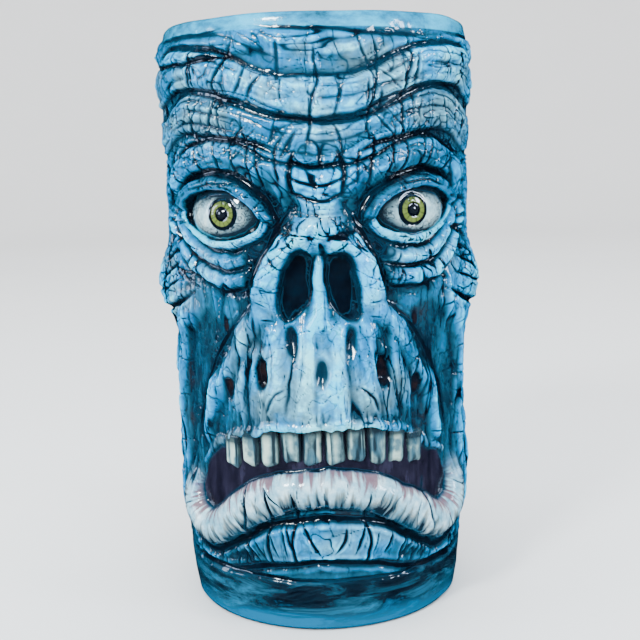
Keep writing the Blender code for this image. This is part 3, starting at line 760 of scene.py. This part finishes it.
def surface_fields(clay):
    """What the glaze does at each place on the outside, each as a grid from 0 to 1."""
    fine, middle, broad = (clay.height - blurred(clay.height, reach) for reach in (0.6, 2.0, 6.5))
    x, y = clay.x, clay.y
    across = np.abs(x)
    pale = np.maximum.reduce([
        most(PALE, across, y),
        1.25 * spot(x, y, (0, 74), (31, 27)) ** 0.6,
        0.45 * spot(x, y, (0, 27), (44, 10)) ** 0.7,
        0.85 * band(y, 129, 136, 154, 160) * (1 - between(across, 60, 90)),
    ])
    # Darker places: pooled glaze with painted shade under the brow, round the eyes, beside the nose, in the
    # cheek hollows, on the lids, in the nose cavities, and darker towards the bottom
    pool_and_shade = np.maximum.reduce([most(POOLS_AND_SHADE, across, y), 0.6 * between(-y, -24, -16), 3.0 * clay.lid,
                              1.2 * clay.cavity])
    rubbed = 0.80 + 0.55 * noise(x, y, (15, 13), 161, 3) - 0.36 * between(y, 123, 136)
    rubbed = np.clip(np.maximum(rubbed, 2.2 * blurred(clay.ink, 0.9) - 0.4), 0.38, 1)
    # Tone follows the relief: paler on high spots where the glaze thins, darker in hollows, partly from
    # pooled glaze and partly from painted shade in the broad hollows
    raised = 2.2 * np.clip(fine, -1, 0.6) + 0.8 * np.clip(middle, -2, 1.3) + 0.30 * np.clip(broad, -5, 3)
    cloud = 0.70 * noise(x, y, (22, 26), 160, 3)
    tone = raised + 0.5 * pale - 0.8 * pool_and_shade + cloud - 0.5 * clay.ink - 1.1 * blurred(clay.ink, 0.7)
    front = np.sort(tone[:, np.abs(clay.arc[0]) < FACE_HALF_WIDTH], axis=None)
    return {
        "tone": np.searchsorted(front, tone) / len(front),
        "crack": rubbed * np.maximum(step((-fine - 0.10) / 0.25), step((clay.ink - 0.30) / 0.50)),
        "pale": np.clip(np.maximum(1.7 * pale, clay.gum), 0, 1),
        "hole": clay.hole * (1 - np.maximum(clay.mouth, clay.lip)),
        "lip": np.clip(clay.lip, 0, 1),
        "lip_across": clay.lip_across,
        "lip_stroke": clay.lip_stroke,
        "mouth": np.clip(clay.mouth, 0, 1),
        "up": clay.up / HEIGHT,
        "foot": 1 - between(clay.up, 13.5, 17.0),
        "outside": np.ones(clay.up.shape),
    }


def mug_wall(clay, glaze):
    """The mug's body. Every second column is left out on the plainer sides and back."""
    columns = np.flatnonzero((np.abs(clay.arc[0]) < FINE_HALF_WIDTH) | (np.arange(COLUMNS) % 2 == 0))
    radius, up = wall_rings(clay, columns)
    angle = clay.arc[0, columns] / REFERENCE_RADIUS
    rings = np.stack([radius * np.sin(angle), -radius * np.cos(angle), up], axis=-1)
    mesh = ring_mesh("glazed_mug_body", rings, (0, 0, up[0, 0]), (0, 0, up[-1, 0]))
    rim_first = len(INNER_FLOOR) + INNER_ROWS
    first, after = rim_first + RIM_ROWS, len(rings) - len(FOOT)
    for name, grid in surface_fields(clay).items():
        values = np.zeros(up.shape)
        values[first:after] = grid[::-1, columns]
        if name == "foot":
            values[after:] = 1
        give(mesh, name, values, (0, 0))
    for name, start, end in [("bare_clay", after + BARE_FOOT[0], after + BARE_FOOT[1]),
                             ("rim", rim_first - RIM_GLAZE_INSIDE, first + RIM_GLAZE_OUTSIDE)]:
        values = np.zeros(up.shape)
        values[start:end] = 1
        give(mesh, name, values, (0, 0))
    add(mesh, glaze, "mug_body")


# ---------------------------------------------------------------- eyeballs and teeth

EYE_HALF_SIZE = (12.8, 8.6, 10.0)
EYE_CENTRE_RADIUS = 37.6
EYE_BACK = EYE_CENTRE_RADIUS - 39.3
IRIS_RADIUS = 3.9
IRIS_TOWARDS_NOSE = 2.6
IRIS_UP = 0.5

TOOTH_PITCH = 6.0
TOOTH_WIDTHS = [5.7, 5.65, 5.6, 5.5, 5.3]
TOOTH_LENGTHS = [12.0, 11.2, 11.8, 10.6, 9.4]
TOOTH_BACK_RADIUS = 37.9
TOOTH_THICKNESS = 4.8
TOOTH_ROOT = 2.6
TOOTH_AROUND, TOOTH_ALONG = 56, 44
TOOTH_SQUARENESS = 0.42


def place_on_wall(piece, arc, up, radius, lean=0.0):
    """Puts a piece on the wall at this arc, with its own -Y pointing straight out."""
    turn = arc / REFERENCE_RADIUS
    piece.location = (radius * math.sin(turn) * MM, -radius * math.cos(turn) * MM, up * MM)
    piece.rotation_euler = (0, lean, turn)


def settle_order(shape):
    """Sorts the points and faces by place, because the order they are made in differs from run to run."""
    along = Vector((1.0, 7.3, 53.1))
    shape.verts.sort(key=lambda vert: along.dot(vert.co))
    shape.faces.sort(key=lambda face: along.dot(face.calc_center_median()))


def domed_cap(name):
    """The front of an ellipsoid, cut off flat behind."""
    shape = bmesh.new()
    bmesh.ops.create_uvsphere(shape, u_segments=150, v_segments=110, radius=1)
    bmesh.ops.scale(shape, vec=[size * MM for size in EYE_HALF_SIZE], verts=shape.verts)
    geometry = shape.verts[:] + shape.edges[:] + shape.faces[:]
    cut = bmesh.ops.bisect_plane(shape, geom=geometry, plane_co=(0, EYE_BACK * MM, 0), plane_no=(0, 1, 0),
                                 clear_outer=True)
    bmesh.ops.edgeloop_fill(shape, edges=[e for e in cut["geom_cut"] if isinstance(e, bmesh.types.BMEdge)])
    bmesh.ops.recalc_face_normals(shape, faces=shape.faces)
    settle_order(shape)
    mesh = bpy.data.meshes.new(name)
    shape.to_mesh(mesh)
    shape.free()
    return mesh


def eyeball(node, side, glaze):
    """A domed cap with an engraved iris and pupil, looking straight ahead."""
    mesh = domed_cap("glazed_" + node)
    points = np.empty(len(mesh.vertices) * 3, np.float32)
    mesh.vertices.foreach_get("co", points)
    points = points.reshape(-1, 3).astype(float) / MM
    x = points[:, 0] + side * IRIS_TOWARDS_NOSE
    z = points[:, 2] - IRIS_UP
    out = np.hypot(x, z) / IRIS_RADIUS
    turn = np.arctan2(z, x)
    front = points[:, 1] < EYE_BACK - 1.0
    carved = 0.22 * bump(out / 0.34) - 0.34 * bump((out - 1.02) / 0.13) - 0.30 * bump((out - 0.40) / 0.12)
    carved += 0.10 * np.sin(turn * 26) * bump((out - 0.71) / 0.24)
    points[:, 1] -= carved * front
    mesh.vertices.foreach_set("co", (points * MM).astype(np.float32).ravel())
    arc = points[:, 0] * REFERENCE_RADIUS / (EYE_CENTRE_RADIUS + EYE_HALF_SIZE[1])
    up = points[:, 2] / OPENING_HALF[1]
    give(mesh, "iris_out", np.where(front, out, 9))
    give(mesh, "iris_turn", turn)
    give(mesh, "rim", np.hypot(arc / OPENING_HALF[0], up))
    give(mesh, "over", 0.5 + up / 2)
    mesh.shade_smooth()
    mesh.set_sharp_from_angle(angle=math.radians(40))
    piece = add(mesh, glaze, node)
    place_on_wall(piece, side * EYE_ARC, EYE_HEIGHT, EYE_CENTRE_RADIUS)


def tooth(node, side, order, glaze):
    """A worn flat tooth with upright striations, narrower and thinner at its tip."""
    rng = np.random.default_rng(500 + 10 * order + side)
    turn = np.linspace(0, 2 * math.pi, TOOTH_AROUND, endpoint=False)[None, :]
    t = np.linspace(0, 1, TOOTH_ALONG)[:, None]
    width, length = TOOTH_WIDTHS[order], TOOTH_LENGTHS[order]
    cap = np.clip(1 - np.clip((t - 0.80) / 0.20, 0, 1) ** 2.6, 0, 1) ** 0.5
    cap = np.maximum(cap, 0.02) * np.clip(0.55 + t / 0.12, 0, 1)
    half_width = width / 2 * (1 - 0.10 * t - 0.05 * np.sin(5 * t + rng.uniform(0, 6)))
    half_depth = TOOTH_THICKNESS / 2 * (1 - 0.16 * t)
    c, s = np.cos(turn), np.sin(turn)
    x = np.sign(c) * np.abs(c) ** TOOTH_SQUARENESS * half_width * (0.35 + 0.65 * cap)
    y = np.sign(s) * np.abs(s) ** TOOTH_SQUARENESS * half_depth * (0.30 + 0.70 * cap)
    grain = sum(np.sin(x * k + rng.uniform(0, 6) + 0.5 * np.sin(3 * t + k)) / k for k in (3.1, 5.3, 8.9))
    y -= 0.16 * grain * (s < 0) * cap
    x += rng.uniform(-0.25, 0.25) * t
    z = length / 2 - length * t + 0.35 * np.sin(x * 1.3 + rng.uniform(0, 6)) * between(t, 0.7, 1.0)
    rings = np.stack([x, y, z], axis=-1)
    mesh = ring_mesh("glazed_" + node, rings, (0, 0, length / 2), rings[-1].mean(axis=0))
    seed = 520 + 2 * (2 * order + (side > 0))
    give(mesh, "down", t + 0 * x, (0, 1))
    give(mesh, "aside", np.abs(x / half_width), (0, 0))
    give(mesh, "streak", 0.5 + 0.5 * noise(x, z, (0.8, 14), seed, 3), (0.5, 0.5))
    give(mesh, "stain", 0.5 + 0.5 * noise(x, z, (3.0, 4.5), seed + 1, 3), (0.5, 0.5))
    arc = TOOTH_PITCH * (order + 0.5)
    middle = mouth_edge(arc, **UPPER_EDGE) + TOOTH_ROOT - length / 2
    lean = math.radians(rng.uniform(-2.5, 2.5))
    piece = add(mesh, glaze, node)
    place_on_wall(piece, side * arc, middle, TOOTH_BACK_RADIUS + TOOTH_THICKNESS / 2, lean)


# ---------------------------------------------------------------- materials


class Nodes:
    """A short way to write a material's node tree."""

    def __init__(self, name):
        self.material = bpy.data.materials.new(name)
        self.material.use_nodes = True
        self.tree = self.material.node_tree
        self.shader = self.tree.nodes["Principled BSDF"]

    def new(self, kind, **settings):
        node = self.tree.nodes.new("ShaderNode" + kind)
        for key, value in settings.items():
            setattr(node, key, value)
        return node

    def fill(self, socket, value):
        """Puts a number, a colour or the output of another node into a socket."""
        if isinstance(value, bpy.types.NodeSocket):
            self.tree.links.new(value, socket)
        else:
            socket.default_value = (*value, 1) if isinstance(value, tuple) else value

    def set(self, **values):
        """Fills sockets of the shader."""
        for name, value in values.items():
            self.fill(self.shader.inputs[name.replace("_", " ")], value)

    def attribute(self, name):
        return self.new("Attribute", attribute_name=name).outputs["Fac"]

    def noise(self, scale, detail=4.0, rough=0.55, stretch=(1, 1, 1), warp=0.0):
        mapping, node = self.new("Mapping"), self.new("TexNoise")
        mapping.inputs["Scale"].default_value = stretch
        self.fill(mapping.inputs["Vector"], self.new("TexCoord").outputs["Object"])
        for name, value in [("Scale", scale), ("Detail", detail), ("Roughness", rough), ("Distortion", warp),
                            ("Vector", mapping.outputs["Vector"])]:
            self.fill(node.inputs[name], value)
        return node.outputs["Fac"]

    def ramp(self, value, *stops):
        """Colours or greys along a value: (position, (r, g, b)) or (position, grey) stops."""
        node = self.new("ValToRGB")
        elements = node.color_ramp.elements
        while len(elements) < len(stops):
            elements.new(0.5)
        for element, (at, colour) in zip(elements, stops):
            element.position = at
            element.color = (*colour, 1) if isinstance(colour, tuple) else (colour, colour, colour, 1)
        self.fill(node.inputs["Fac"], value)
        return node.outputs["Color"]

    def change(self, value, low, high, before=0.0, after=1.0):
        """A grey that goes from before to after between two values."""
        return self.ramp(value, (low, before), (high, after))

    def maths(self, operation, a, b, clamp=True):
        node = self.new("Math", operation=operation, use_clamp=clamp)
        for socket, value in zip(node.inputs, (a, b)):
            self.fill(socket, value)
        return node.outputs["Value"]

    def times(self, a, b):
        return self.maths("MULTIPLY", a, b)

    def shaken(self, value, by, amount):
        """A value moved up and down by a noise, times an amount."""
        centred = self.maths("SUBTRACT", by, 0.5, False)
        return self.maths("ADD", value, self.maths("MULTIPLY", centred, amount, False))

    def mix(self, share, a, b, blend="MIX"):
        node = self.new("Mix", data_type="RGBA", blend_type=blend)
        for socket, value in zip((node.inputs[0], node.inputs[6], node.inputs[7]), (share, a, b)):
            self.fill(socket, value)
        return node.outputs[2]

    def layers(self, colour, *over):
        """A colour with others over it: (share, colour) pairs."""
        for share, layer in over:
            colour = self.mix(share, colour, layer)
        return colour

    def bumps(self, height, strength, distance):
        node = self.new("Bump")
        for name, value in [("Strength", strength), ("Distance", distance), ("Height", height)]:
            self.fill(node.inputs[name], value)
        self.set(Normal=node.outputs["Normal"])


# Colours are linear albedos, deeper and richer than they show under the studio's bright light.
BLACK_WASH = (0.001, 0.002, 0.005)
DEEP_TEAL = (0.004, 0.013, 0.023)
TEAL = (0.009, 0.052, 0.086)
TURQUOISE = (0.004, 0.140, 0.260)
BARE_ROUGHNESS = (0.85, 0.85, 0.85)


def turquoise_glaze():
    """A breaking glaze: pale where it thins on high spots, deep where it pools and where shade is painted
    into the hollows, black in the cracks.
    """
    n = Nodes("turquoise_glaze")
    crack, tone, rim = n.attribute("crack"), n.attribute("tone"), n.attribute("rim")
    bare = n.attribute("bare_clay")
    cloud = n.noise(60, 5, 0.6)
    value = n.shaken(tone, n.noise(260, 6, 0.7), 0.5)
    glaze = n.ramp(value, (0.05, BLACK_WASH), (0.15, (0.003, 0.011, 0.022)), (0.27, (0.006, 0.032, 0.054)),
                   (0.45, (0.005, 0.068, 0.118)), (0.63, (0.001, 0.110, 0.240)),
                   (0.82, (0.001, 0.200, 0.440)), (0.94, (0.002, 0.350, 0.680)),
                   (1.00, (0.004, 0.600, 0.900)))
    grey = n.ramp(value, (0.03, BLACK_WASH), (0.15, (0.003, 0.009, 0.017)), (0.30, (0.010, 0.028, 0.042)),
                  (0.46, (0.030, 0.066, 0.088)), (0.63, (0.055, 0.130, 0.170)), (0.81, (0.090, 0.240, 0.320)),
                  (0.94, (0.130, 0.430, 0.560)), (1.00, (0.220, 0.740, 0.840)))
    hair = n.ramp(n.noise(170, 3, 0.5, warp=0.5), (0.468, 0.0), (0.492, 0.55), (0.508, 0.55), (0.532, 0.0))
    colour = n.layers(glaze, (n.times(n.attribute("pale"), n.change(cloud, 0.45, 0.60)), grey),
                      (n.times(hair, n.change(cloud, 0.42, 0.62, 1.0, 0.2)), TEAL))
    runs = n.noise(120, 4, 0.6, stretch=(1, 1, 0.16), warp=0.4)
    colour = n.mix(n.change(runs, 0.52, 0.70, 0.0, 0.50), colour, (0.004, 0.100, 0.200), "OVERLAY")

    stain = n.times(n.change(n.noise(38, 4, 0.6), 0.56, 0.70, 0.0, 0.7),
                    n.change(tone, 0.25, 0.55, 1.0, 0.0))
    mouth_colour = n.ramp(n.noise(260, 5, 0.65, stretch=(1, 1, 0.3)), (0.32, (0.003, 0.003, 0.007)),
                          (0.52, (0.010, 0.009, 0.019)), (0.75, (0.030, 0.027, 0.052)))
    rim_colour = n.ramp(n.noise(150, 6, 0.7, stretch=(0.5, 0.5, 1)),
                        (0.32, TEAL), (0.45, (0.004, 0.220, 0.400)), (0.62, (0.006, 0.480, 0.760)))
    wash = n.times(n.change(crack, 0.42, 0.80), n.change(n.noise(200, 3), 0.25, 0.5, 0.80, 1.0))
    raw = n.change(n.noise(330, 4, 0.6), 0.42, 0.64, 0.10, 0.85)
    colour = n.layers(
        colour,
        (stain, (0.020, 0.012, 0.010)),
        (n.attribute("lip"), lip_colour(n)),
        (n.attribute("mouth"), mouth_colour),
        (n.attribute("foot"), foot_colour(n)),
        (n.times(rim, 0.85), rim_colour),
        (n.change(crack, 0.06, 0.50, 0.0, 0.95), (0.003, 0.026, 0.050)),
        (wash, n.ramp(cloud, (0.4, BLACK_WASH), (0.7, (0.002, 0.007, 0.014)))),
        (n.times(n.attribute("hole"), raw), (0.019, 0.009, 0.009)),
    )
    inner_glaze = n.ramp(cloud, (0.35, (0.007, 0.043, 0.078)), (0.65, (0.006, 0.115, 0.197)))
    clay = n.ramp(n.noise(420, 4, 0.6), (0.3, (0.30, 0.22, 0.135)), (0.7, (0.44, 0.33, 0.20)))
    colour = n.layers(inner_glaze, (n.maths("MAXIMUM", n.attribute("outside"), rim), colour), (bare, clay))

    rough = n.mix(bare, n.change(n.noise(170, 4, 0.6), 0.3, 0.7, 0.10, 0.24), BARE_ROUGHNESS)
    n.set(Base_Color=colour, Roughness=rough, Coat_Weight=0.8, Coat_Roughness=0.05, Coat_IOR=1.5, IOR=1.5,
          Specular_IOR_Level=0.2)
    coarse = n.maths("MULTIPLY", n.noise(260, 4, 0.6), 1.6, False)
    n.bumps(n.maths("ADD", n.noise(900, 3, 0.6), coarse, False), 0.24, 0.0003)
    return n.material


def lip_colour(n):
    """White over the crest, feathered pink on the inner edge, and teal under the outer edge, partly pooled
    glaze and partly painted shade.
    """
    across, stroke = n.attribute("lip_across"), n.attribute("lip_stroke")
    skin = n.ramp(n.noise(240, 5, 0.65), (0.3, (0.090, 0.260, 0.340)), (0.5, (0.260, 0.480, 0.580)),
                  (0.7, (0.620, 0.800, 0.840)))
    inner = n.shaken(across, stroke, 0.60)
    # Teal towards the outer, lower edge of the lip: pooled glaze with painted shade under the lip
    pooled = n.ramp(n.shaken(across, stroke, 0.50), (0.10, 1.0), (0.24, 0.75), (0.50, 0.0))
    return n.layers(
        skin,
        (n.change(inner, 0.74, 0.94, 0.0, 0.85), (0.150, 0.040, 0.052)),
        (n.ramp(inner, (0.18, 0.0), (0.30, 0.5), (0.42, 0.0)), (0.360, 0.330, 0.230)),
        (pooled, n.ramp(stroke, (0.3, DEEP_TEAL), (0.7, (0.010, 0.056, 0.096)))),
        # Darker where the wall's tone is low, which carries painted shade
        (n.change(n.attribute("tone"), 0.12, 0.55, 0.9, 0.0), (0.010, 0.050, 0.086)),
    )


def foot_colour(n):
    """Black and teal brushed round the foot, with bright turquoise along its bottom edge."""
    brushed = n.noise(230, 6, 0.7, stretch=(0.22, 0.22, 1), warp=0.6)
    teal = n.ramp(brushed, (0.36, BLACK_WASH), (0.46, DEEP_TEAL), (0.56, TEAL), (0.70, TURQUOISE))
    height = n.shaken(n.attribute("up"), brushed, 0.12)
    return n.mix(n.change(height, 0.012, 0.036, 1.0, 0.0), teal, (0.001, 0.116, 0.236))


def eye_glaze():
    n = Nodes("eye_glaze")
    out, rim = n.attribute("iris_out"), n.attribute("rim")
    cloud = n.noise(420, 4, 0.6)
    crazed = n.noise(330, 5, 0.7, warp=1.2)
    vein = n.ramp(crazed, (0.462, 0.0), (0.488, 1.0), (0.512, 1.0), (0.538, 0.0))
    white = n.ramp(cloud, (0.3, (0.200, 0.360, 0.420)), (0.55, (0.400, 0.600, 0.640)),
                   (0.8, (0.600, 0.740, 0.680)))
    white = n.mix(n.times(vein, n.change(rim, 0.30, 0.60)), white, (0.020, 0.030, 0.045))
    rays = n.maths("SINE", n.maths("MULTIPLY", n.attribute("iris_turn"), 13.0, False), 0.0, False)
    green = n.layers((0.100, 0.135, 0.026), (n.change(rays, 0.45, 0.95, 0.0, 0.9), (0.016, 0.028, 0.010)),
                     (n.change(cloud, 0.4, 0.7, 0.0, 0.6), (0.160, 0.200, 0.050)))
    shade = n.maths("MAXIMUM", n.ramp(rim, (0.44, 0.0), (0.68, 0.50), (0.84, 1.0)),
                    n.change(n.attribute("over"), 0.72, 0.98, 0.0, 0.85))
    colour = n.layers(
        (0.006, 0.008, 0.012),
        (n.change(out, 0.30, 0.34), BLACK_WASH),
        (edge(n, out, 0.50), green),
        (edge(n, out, 0.84), BLACK_WASH),
        (edge(n, out, 1.12), white),
        (shade, (0.006, 0.015, 0.024)),
    )
    n.set(Base_Color=colour, Roughness=n.change(cloud, 0.3, 0.7, 0.06, 0.14), Coat_Weight=1.0,
          Coat_Roughness=0.03, Coat_IOR=1.55, IOR=1.5)
    n.bumps(n.noise(700, 3, 0.6), 0.10, 0.0002)
    return n.material


def edge(n, value, at, soft=0.03):
    """0 below a value and 1 above it, over a narrow step. The value runs from 0 to about 2."""
    return n.change(n.times(value, 0.5), (at - soft) / 2, (at + soft) / 2)


def tooth_glaze():
    n = Nodes("tooth_glaze")
    down, streak, speckle = n.attribute("down"), n.attribute("streak"), n.noise(700, 4, 0.6)
    enamel = n.ramp(n.shaken(streak, speckle, 0.5), (0.24, (0.040, 0.080, 0.092)),
                    (0.42, (0.150, 0.270, 0.280)), (0.75, (0.420, 0.560, 0.480)))
    blotch = n.change(n.shaken(n.attribute("stain"), speckle, 0.5), 0.46, 0.70, 0.0, 0.85)
    colour = n.layers(
        enamel,
        (blotch, (0.026, 0.090, 0.130)),
        (n.change(streak, 0.20, 0.30, 0.9, 0.0), (0.006, 0.016, 0.024)),
        # Painted shade under the gum, just below the root of each tooth
        (n.ramp(down, (0.22, 0.9), (0.31, 0.4), (0.44, 0.0)), (0.005, 0.016, 0.026)),
        (n.change(down, 0.86, 1.0, 0.0, 0.7), (0.010, 0.026, 0.036)),
        (n.change(n.attribute("aside"), 0.62, 0.92, 0.0, 0.9), (0.004, 0.010, 0.016)),
    )
    n.set(Base_Color=colour, Roughness=n.change(streak, 0.3, 0.7, 0.30, 0.14), Coat_Weight=0.7,
          Coat_Roughness=0.05, Coat_IOR=1.5, IOR=1.5)
    n.bumps(streak, 0.45, 0.0004)
    return n.material


# ---------------------------------------------------------------- scene

FLOOR_RADIUS = 1300.0
SWEEP_RADIUS = 900.0
SWEEP_SEGMENTS = 24
BACKDROP_HEIGHT = 2400.0
FLOOR_AROUND = 96

# (name, place, size, power, colour, whether the glaze reflects it)
LAMPS = [
    ("key_softbox", (-0.42, -0.62, 0.62), 0.16, 10.5, (0.84, 0.96, 1.0), True),
    ("right_softbox", (0.70, -0.38, 0.34), 0.18, 4.2, (0.66, 0.80, 1.0), True),
    ("left_softbox", (-0.85, -0.20, 0.25), 0.30, 3.4, (0.60, 0.74, 1.0), True),
    ("front_softbox", (0.10, -0.75, 0.95), 0.80, 10.0, (0.62, 0.87, 1.0), False),
    ("top_softbox", (0.05, 0.15, 2.1), 2.2, 90, (0.86, 0.96, 1.0), False),
]
LIT_PLACE = (0, 0, 0.085)

CAMERA_PLACE = (0.0, -0.306, 0.131)
CAMERA_PITCH = 9.4
CAMERA_YAW = -0.22
CAMERA_ROLL = 1.4
CAMERA_LENS = 58.2


def floor_sweep():
    """A pale round floor that curves up into a wall all round, so that no horizon shows."""
    bend = np.linspace(0, math.pi / 2, SWEEP_SEGMENTS)
    radius = [300.0, *(FLOOR_RADIUS + SWEEP_RADIUS * np.sin(bend)), FLOOR_RADIUS + SWEEP_RADIUS]
    up = [0.0, *(SWEEP_RADIUS * (1 - np.cos(bend))), BACKDROP_HEIGHT]
    turn = np.linspace(0, 2 * math.pi, FLOOR_AROUND, endpoint=False)
    rings = np.array([[(r * math.cos(a), r * math.sin(a), z) for a in turn] for r, z in zip(radius, up)])
    mesh = ring_mesh("studio_floor", rings, (0, 0, 0))
    floor = bpy.data.objects.new("studio_floor", mesh)
    bpy.context.scene.collection.objects.link(floor)
    n = Nodes("pale_floor")
    n.set(Base_Color=n.ramp(n.noise(6, 3), (0.3, (0.84, 0.78, 0.76)), (0.7, (0.86, 0.80, 0.78))),
          Roughness=0.7)
    mesh.materials.append(n.material)
    # The glaze reflects the softboxes and not the floor, as it would over a black card.
    floor.visible_glossy = False


def studio_world():
    """White behind the object, a soft pale fill for its colours and a dim blue one in its gloss."""
    world = bpy.data.worlds.new("studio")
    bpy.context.scene.world = world
    world.use_nodes = True
    tree = world.node_tree
    rays = tree.nodes.new("ShaderNodeLightPath")
    colour = (0.40, 0.51, 0.56, 1)
    for ray, seen in (("Is Glossy Ray", (0.005, 0.011, 0.022, 1)), ("Is Camera Ray", (0.93, 0.94, 0.96, 1))):
        mix = tree.nodes.new("ShaderNodeMix")
        mix.data_type = "RGBA"
        if isinstance(colour, tuple):
            mix.inputs[6].default_value = colour
        else:
            tree.links.new(colour, mix.inputs[6])
        mix.inputs[7].default_value = seen
        tree.links.new(rays.outputs[ray], mix.inputs[0])
        colour = mix.outputs[2]
    tree.links.new(colour, tree.nodes["Background"].inputs["Color"])


def softboxes():
    for name, place, size, power, colour, in_gloss in LAMPS:
        light = bpy.data.lights.new(name, "AREA")
        light.size = size
        light.energy = power
        light.color = colour
        lamp = bpy.data.objects.new(name, light)
        lamp.location = place
        lamp.visible_glossy = in_gloss
        lamp.rotation_euler = (Vector(LIT_PLACE) - Vector(place)).to_track_quat("-Z", "Y").to_euler()
        bpy.context.scene.collection.objects.link(lamp)


def photo_camera():
    camera = bpy.data.objects.new("camera", bpy.data.cameras.new("camera"))
    camera.data.lens = CAMERA_LENS
    camera.data.clip_start = 0.01
    camera.location = CAMERA_PLACE
    camera.rotation_euler = [math.radians(angle) for angle in (90 - CAMERA_PITCH, CAMERA_ROLL, CAMERA_YAW)]
    bpy.context.scene.collection.objects.link(camera)
    bpy.context.scene.camera = camera


def main():
    floor_sweep()
    studio_world()
    softboxes()
    photo_camera()
    mug_wall(carve(), turquoise_glaze())
    eye, enamel = eye_glaze(), tooth_glaze()
    for side, word in ((-1, "right"), (1, "left")):
        eyeball(word + "_eyeball", side, eye)
        for order in range(len(TOOTH_WIDTHS)):
            tooth(f"upper_{word}_tooth_{order + 1}", side, order, enamel)


main()
